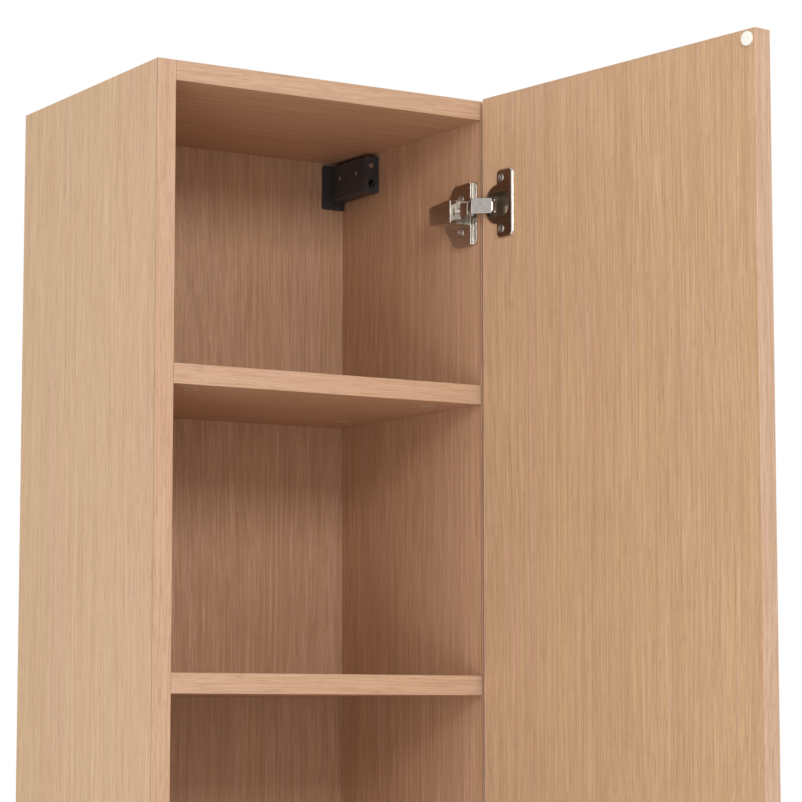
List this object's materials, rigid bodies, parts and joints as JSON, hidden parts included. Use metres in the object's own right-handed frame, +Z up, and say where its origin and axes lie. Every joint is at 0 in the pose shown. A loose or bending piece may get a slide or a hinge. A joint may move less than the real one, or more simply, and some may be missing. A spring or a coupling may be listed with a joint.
{
  "type": "tall wall cabinet",
  "caption": "Tall narrow wall-hung storage cabinet with a single side-hinged door, inner shelves, concealed cup hinges and adjustable hangers.",
  "frame": {"origin": "centre of the carcass underside, on the plane the cabinet rests on", "axes": "+X to the cabinet's right side, +Y to the wall, +Z up; the front faces -Y"},
  "size_m": [0.3949, 0.6413, 1.629],
  "materials": {
    "veneer": "satin lacquered straight-grain veneer",
    "edge_band": "satin lacquered veneer edge band",
    "zinc": "die-cast zinc",
    "dowel_wood": "plain beech",
    "clear_pad": "translucent soft pad",
    "nickel": "polished nickel plate",
    "screw_steel": "zinc-plated steel",
    "black_plastic": "moulded satin plastic"
  },
  "bodies": {
    "carcass": {"left_side": "veneer", "right_side": "veneer", "top_panel": "veneer", "bottom_panel": "veneer", "back_panel": "veneer", "shelf_1": "veneer", "shelf_2": "veneer", "shelf_3": "veneer", "shelf_4": "veneer", "shelf_5": "veneer", "left_edge_band": "edge_band", "right_edge_band": "edge_band", "top_edge_band": "edge_band", "bottom_edge_band": "edge_band", "shelf_edge_bands": "edge_band", "shelf_cams": "zinc", "shelf_cam_bolts": "zinc", "corner_cams": "zinc", "corner_cam_bolts": "zinc", "corner_dowels": "dowel_wood", "hinge_plate_top": "nickel", "hinge_plate_middle": "nickel", "hinge_plate_bottom": "nickel", "hinge_arm_top": "nickel", "hinge_arm_middle": "nickel", "hinge_arm_bottom": "nickel", "hinge_cap_top": "nickel", "hinge_cap_middle": "nickel", "hinge_cap_bottom": "nickel", "hinge_arm_pins": "screw_steel", "hinge_plate_screws": "screw_steel", "hinge_arm_screws": "screw_steel", "hanger_left_cover": "black_plastic", "hanger_left_frame": "zinc", "hanger_right_cover": "black_plastic", "hanger_right_frame": "zinc", "hanger_fixing_screws": "screw_steel"},
    "door": {"door_panel": "veneer", "door_edge_bands": "edge_band", "door_bumpers": "clear_pad", "hinge_cup_top": "nickel", "hinge_cup_middle": "nickel", "hinge_cup_bottom": "nickel", "hinge_cup_screws": "screw_steel"},
    "outer_links": {"outer_link_top": "nickel", "outer_link_middle": "nickel", "outer_link_bottom": "nickel", "outer_link_pins": "screw_steel"},
    "inner_links": {"inner_link_top": "nickel", "inner_link_middle": "nickel", "inner_link_bottom": "nickel", "inner_link_pins": "screw_steel"},
    "hanger_left_carriage": {"hanger_left_carriage": "zinc"},
    "hanger_left_hook": {"hanger_left_hook": "zinc"},
    "hanger_left_height_screw": {"hanger_left_height_screw": "screw_steel"},
    "hanger_left_depth_screw": {"hanger_left_depth_screw": "screw_steel"},
    "hanger_right_carriage": {"hanger_right_carriage": "zinc"},
    "hanger_right_hook": {"hanger_right_hook": "zinc"},
    "hanger_right_height_screw": {"hanger_right_height_screw": "screw_steel"},
    "hanger_right_depth_screw": {"hanger_right_depth_screw": "screw_steel"}
  },
  "joints": [
    {"name": "door_swing", "type": "hinge", "parent": "carcass", "child": "door", "pos_m": [0.1689, -0.156, 0.8], "axis": [0, 0, 1], "range_deg": [-97, 13]},
    {"name": "outer_link_swing", "type": "hinge", "parent": "carcass", "child": "outer_links", "pos_m": [0.1438, -0.1504, 0.8], "axis": [0, 0, 1], "range_deg": [-10, 48]},
    {"name": "inner_link_swing", "type": "hinge", "parent": "carcass", "child": "inner_links", "pos_m": [0.1473, -0.1449, 0.8], "axis": [0, 0, 1], "range_deg": [-10, 47]},
    {"name": "hanger_left_height", "type": "slide", "parent": "carcass", "child": "hanger_left_carriage", "axis": [0, 0, 1], "range_m": [-0.002, 0.002]},
    {"name": "hanger_left_depth", "type": "slide", "parent": "hanger_left_carriage", "child": "hanger_left_hook", "axis": [0, 1, 0], "range_m": [-0.006, 0.001]},
    {"name": "hanger_left_height_screw_turn", "type": "hinge", "parent": "carcass", "child": "hanger_left_height_screw", "pos_m": [-0.1515, 0.06, 1.5988], "axis": [0, 1, 0], "range_deg": [-730, 730]},
    {"name": "hanger_left_depth_screw_turn", "type": "hinge", "parent": "hanger_left_carriage", "child": "hanger_left_depth_screw", "pos_m": [-0.1515, 0.06, 1.5805], "axis": [0, 1, 0], "range_deg": [-370, 2170]},
    {"name": "hanger_right_height", "type": "slide", "parent": "carcass", "child": "hanger_right_carriage", "axis": [0, 0, 1], "range_m": [-0.002, 0.002]},
    {"name": "hanger_right_depth", "type": "slide", "parent": "hanger_right_carriage", "child": "hanger_right_hook", "axis": [0, 1, 0], "range_m": [-0.006, 0.001]},
    {"name": "hanger_right_height_screw_turn", "type": "hinge", "parent": "carcass", "child": "hanger_right_height_screw", "pos_m": [0.1515, 0.06, 1.5988], "axis": [0, 1, 0], "range_deg": [-730, 730]},
    {"name": "hanger_right_depth_screw_turn", "type": "hinge", "parent": "hanger_right_carriage", "child": "hanger_right_depth_screw", "pos_m": [0.1515, 0.06, 1.5805], "axis": [0, 1, 0], "range_deg": [-370, 2170]}
  ],
  "couplings": [
    {"joint": "outer_link_swing", "follows": "door_swing", "ratio": -0.46},
    {"joint": "inner_link_swing", "follows": "door_swing", "ratio": -0.45},
    {"joint": "hanger_left_height_screw_turn", "follows": "hanger_left_height", "rad_per_m": 6283.2},
    {"joint": "hanger_left_depth_screw_turn", "follows": "hanger_left_depth", "rad_per_m": -6283.2},
    {"joint": "hanger_right_height_screw_turn", "follows": "hanger_right_height", "rad_per_m": 6283.2},
    {"joint": "hanger_right_depth_screw_turn", "follows": "hanger_right_depth", "rad_per_m": -6283.2}
  ]
}
